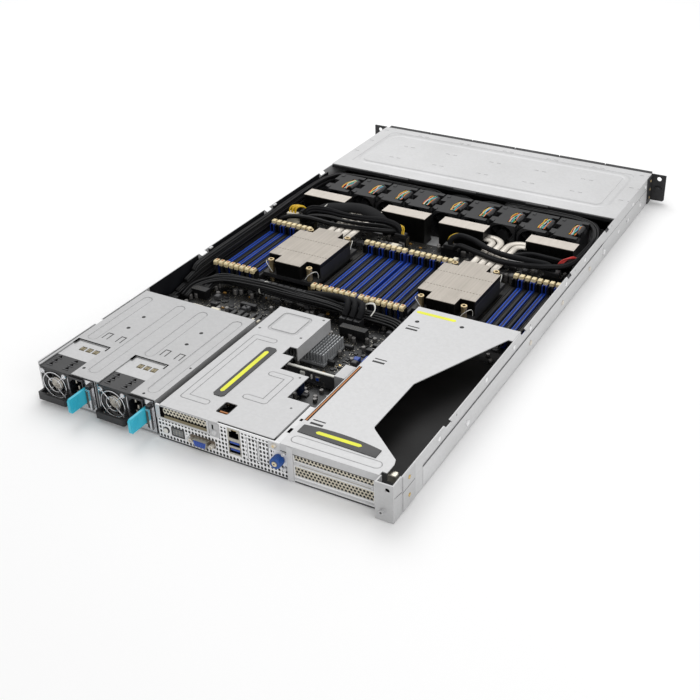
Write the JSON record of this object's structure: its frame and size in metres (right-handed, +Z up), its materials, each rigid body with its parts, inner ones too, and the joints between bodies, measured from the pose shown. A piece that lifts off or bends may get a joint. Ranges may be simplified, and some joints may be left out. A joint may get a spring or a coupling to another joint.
{
  "type": "one-unit rack server",
  "caption": "Open one-unit rack server: steel tray with drive bays, fan row, finned coolers, memory banks, riser covers and two slide-out power supplies.",
  "frame": {"origin": "middle of the bounding box's underside", "axes": "+Z up, +Y towards the front (drive bays), +X to the right as seen from the rear"},
  "size_m": [0.4826, 0.8424, 0.0432],
  "materials": {
    "galvanised": "zinc-coated sheet, matt",
    "black_steel": "black, fine texture",
    "bright_steel": "bright",
    "board": "black glass-fibre laminate",
    "blue_plastic": "blue",
    "black_plastic": "black",
    "cream_plastic": "cream",
    "fins": "bare fins",
    "nickel": "nickel-plated, satin",
    "brass": "satin",
    "port_metal": "tin-plated shells",
    "grey_plastic": "grey",
    "film": "black polyester film",
    "sleeve": "black braided sleeve",
    "chrome": "bright wire",
    "cyan_plastic": "cyan",
    "carrier": "dark grey drive and tray"
  },
  "bodies": {
    "chassis": {"bay_cover": "galvanised", "cables": "sleeve", "card_insulator": "film", "chassis_tray": "galvanised", "chipset_cooler": "fins", "cooler_fins": "fins", "cooler_pipes": "nickel", "cooler_screws": "brass", "drive_backplane": "board", "drive_cage": "galvanised", "fan_frames": "black_plastic", "mainboard": "board", "memory_latches": "cream_plastic", "memory_sockets_black": "black_plastic", "memory_sockets_blue": "blue_plastic", "psu_cage": "galvanised", "rack_ears": "black_steel", "rail_studs": "bright_steel", "rear_bracket": "galvanised", "rear_panel": "galvanised", "rear_ports": "port_metal", "riser_cards": "board", "riser_grips": "black_plastic", "riser_mid_cover": "galvanised", "riser_right_cover": "galvanised", "slot_covers": "nickel"},
    "fan_rotor_1": {"fan_rotor_1": "black_plastic"},
    "fan_rotor_2": {"fan_rotor_2": "black_plastic"},
    "fan_rotor_3": {"fan_rotor_3": "black_plastic"},
    "fan_rotor_4": {"fan_rotor_4": "black_plastic"},
    "fan_rotor_5": {"fan_rotor_5": "black_plastic"},
    "fan_rotor_6": {"fan_rotor_6": "black_plastic"},
    "fan_rotor_7": {"fan_rotor_7": "black_plastic"},
    "fan_rotor_8": {"fan_rotor_8": "black_plastic"},
    "fan_rotor_9": {"fan_rotor_9": "black_plastic"},
    "drive_carrier_1": {"drive_carrier_1": "carrier"},
    "drive_carrier_2": {"drive_carrier_2": "carrier"},
    "drive_carrier_3": {"drive_carrier_3": "carrier"},
    "drive_carrier_4": {"drive_carrier_4": "carrier"},
    "drive_carrier_5": {"drive_carrier_5": "carrier"},
    "drive_carrier_6": {"drive_carrier_6": "carrier"},
    "drive_carrier_7": {"drive_carrier_7": "carrier"},
    "drive_carrier_8": {"drive_carrier_8": "carrier"},
    "drive_carrier_9": {"drive_carrier_9": "carrier"},
    "drive_carrier_10": {"drive_carrier_10": "carrier"},
    "drive_carrier_11": {"drive_carrier_11": "carrier"},
    "drive_carrier_12": {"drive_carrier_12": "carrier"},
    "psu_1": {"psu_case_1": "galvanised", "psu_face_1": "black_plastic", "psu_guard_1": "chrome"},
    "psu_rotor_1": {"psu_rotor_1": "black_plastic"},
    "psu_latch_1": {"psu_latch_1": "cyan_plastic"},
    "psu_2": {"psu_case_2": "galvanised", "psu_face_2": "black_plastic", "psu_guard_2": "chrome"},
    "psu_rotor_2": {"psu_rotor_2": "black_plastic"},
    "psu_latch_2": {"psu_latch_2": "cyan_plastic"},
    "thumbscrew": {"thumbscrew": "blue_plastic"},
    "identify_button": {"identify_button": "grey_plastic"},
    "power_button": {"power_button": "grey_plastic"}
  },
  "joints": [
    {"name": "fan_turn_1", "type": "hinge", "parent": "chassis", "child": "fan_rotor_1", "pos_m": [-0.169, 0.16375, 0.021], "axis": [0, 1, 0], "continuous": true},
    {"name": "fan_turn_2", "type": "hinge", "parent": "chassis", "child": "fan_rotor_2", "pos_m": [-0.1262, 0.16375, 0.021], "axis": [0, 1, 0], "continuous": true},
    {"name": "fan_turn_3", "type": "hinge", "parent": "chassis", "child": "fan_rotor_3", "pos_m": [-0.0834, 0.16375, 0.021], "axis": [0, 1, 0], "continuous": true},
    {"name": "fan_turn_4", "type": "hinge", "parent": "chassis", "child": "fan_rotor_4", "pos_m": [-0.0406, 0.16375, 0.021], "axis": [0, 1, 0], "continuous": true},
    {"name": "fan_turn_5", "type": "hinge", "parent": "chassis", "child": "fan_rotor_5", "pos_m": [0.0022, 0.16375, 0.021], "axis": [0, 1, 0], "continuous": true},
    {"name": "fan_turn_6", "type": "hinge", "parent": "chassis", "child": "fan_rotor_6", "pos_m": [0.045, 0.16375, 0.021], "axis": [0, 1, 0], "continuous": true},
    {"name": "fan_turn_7", "type": "hinge", "parent": "chassis", "child": "fan_rotor_7", "pos_m": [0.0878, 0.16375, 0.021], "axis": [0, 1, 0], "continuous": true},
    {"name": "fan_turn_8", "type": "hinge", "parent": "chassis", "child": "fan_rotor_8", "pos_m": [0.1306, 0.16375, 0.021], "axis": [0, 1, 0], "continuous": true},
    {"name": "fan_turn_9", "type": "hinge", "parent": "chassis", "child": "fan_rotor_9", "pos_m": [0.1734, 0.16375, 0.021], "axis": [0, 1, 0], "continuous": true},
    {"name": "drive_slide_1", "type": "slide", "parent": "chassis", "child": "drive_carrier_1", "axis": [0, 1, 0], "range_m": [0, 0.13]},
    {"name": "drive_slide_2", "type": "slide", "parent": "chassis", "child": "drive_carrier_2", "axis": [0, 1, 0], "range_m": [0, 0.13]},
    {"name": "drive_slide_3", "type": "slide", "parent": "chassis", "child": "drive_carrier_3", "axis": [0, 1, 0], "range_m": [0, 0.13]},
    {"name": "drive_slide_4", "type": "slide", "parent": "chassis", "child": "drive_carrier_4", "axis": [0, 1, 0], "range_m": [0, 0.13]},
    {"name": "drive_slide_5", "type": "slide", "parent": "chassis", "child": "drive_carrier_5", "axis": [0, 1, 0], "range_m": [0, 0.13]},
    {"name": "drive_slide_6", "type": "slide", "parent": "chassis", "child": "drive_carrier_6", "axis": [0, 1, 0], "range_m": [0, 0.13]},
    {"name": "drive_slide_7", "type": "slide", "parent": "chassis", "child": "drive_carrier_7", "axis": [0, 1, 0], "range_m": [0, 0.13]},
    {"name": "drive_slide_8", "type": "slide", "parent": "chassis", "child": "drive_carrier_8", "axis": [0, 1, 0], "range_m": [0, 0.13]},
    {"name": "drive_slide_9", "type": "slide", "parent": "chassis", "child": "drive_carrier_9", "axis": [0, 1, 0], "range_m": [0, 0.13]},
    {"name": "drive_slide_10", "type": "slide", "parent": "chassis", "child": "drive_carrier_10", "axis": [0, 1, 0], "range_m": [0, 0.13]},
    {"name": "drive_slide_11", "type": "slide", "parent": "chassis", "child": "drive_carrier_11", "axis": [0, 1, 0], "range_m": [0, 0.13]},
    {"name": "drive_slide_12", "type": "slide", "parent": "chassis", "child": "drive_carrier_12", "axis": [0, 1, 0], "range_m": [0, 0.13]},
    {"name": "psu_slide_1", "type": "slide", "parent": "chassis", "child": "psu_1", "axis": [0, -1, 0], "range_m": [0, 0.185]},
    {"name": "psu_fan_turn_1", "type": "hinge", "parent": "psu_1", "child": "psu_rotor_1", "pos_m": [-0.1966, -0.38225, 0.02105], "axis": [0, 1, 0], "continuous": true},
    {"name": "psu_latch_push_1", "type": "hinge", "parent": "psu_1", "child": "psu_latch_1", "pos_m": [-0.1514, -0.38725, 0.02355], "axis": [0, 0, -1], "range_deg": [0, 3.5], "stiffness_Nm_per_rad": 0.6},
    {"name": "psu_slide_2", "type": "slide", "parent": "chassis", "child": "psu_2", "axis": [0, -1, 0], "range_m": [0, 0.185]},
    {"name": "psu_fan_turn_2", "type": "hinge", "parent": "psu_2", "child": "psu_rotor_2", "pos_m": [-0.1174, -0.38225, 0.02105], "axis": [0, 1, 0], "continuous": true},
    {"name": "psu_latch_push_2", "type": "hinge", "parent": "psu_2", "child": "psu_latch_2", "pos_m": [-0.0722, -0.38725, 0.02355], "axis": [0, 0, -1], "range_deg": [0, 3.5], "stiffness_Nm_per_rad": 0.6},
    {"name": "thumbscrew_turn", "type": "hinge", "parent": "chassis", "child": "thumbscrew", "pos_m": [0.0896, -0.39455, 0.0223], "axis": [0, 1, 0], "continuous": true},
    {"name": "identify_press", "type": "slide", "parent": "chassis", "child": "identify_button", "axis": [0, 1, 0], "range_m": [0, 0.001], "stiffness_N_per_m": 400},
    {"name": "power_press", "type": "slide", "parent": "chassis", "child": "power_button", "axis": [0, -1, 0], "range_m": [0, 0.001], "stiffness_N_per_m": 400}
  ]
}
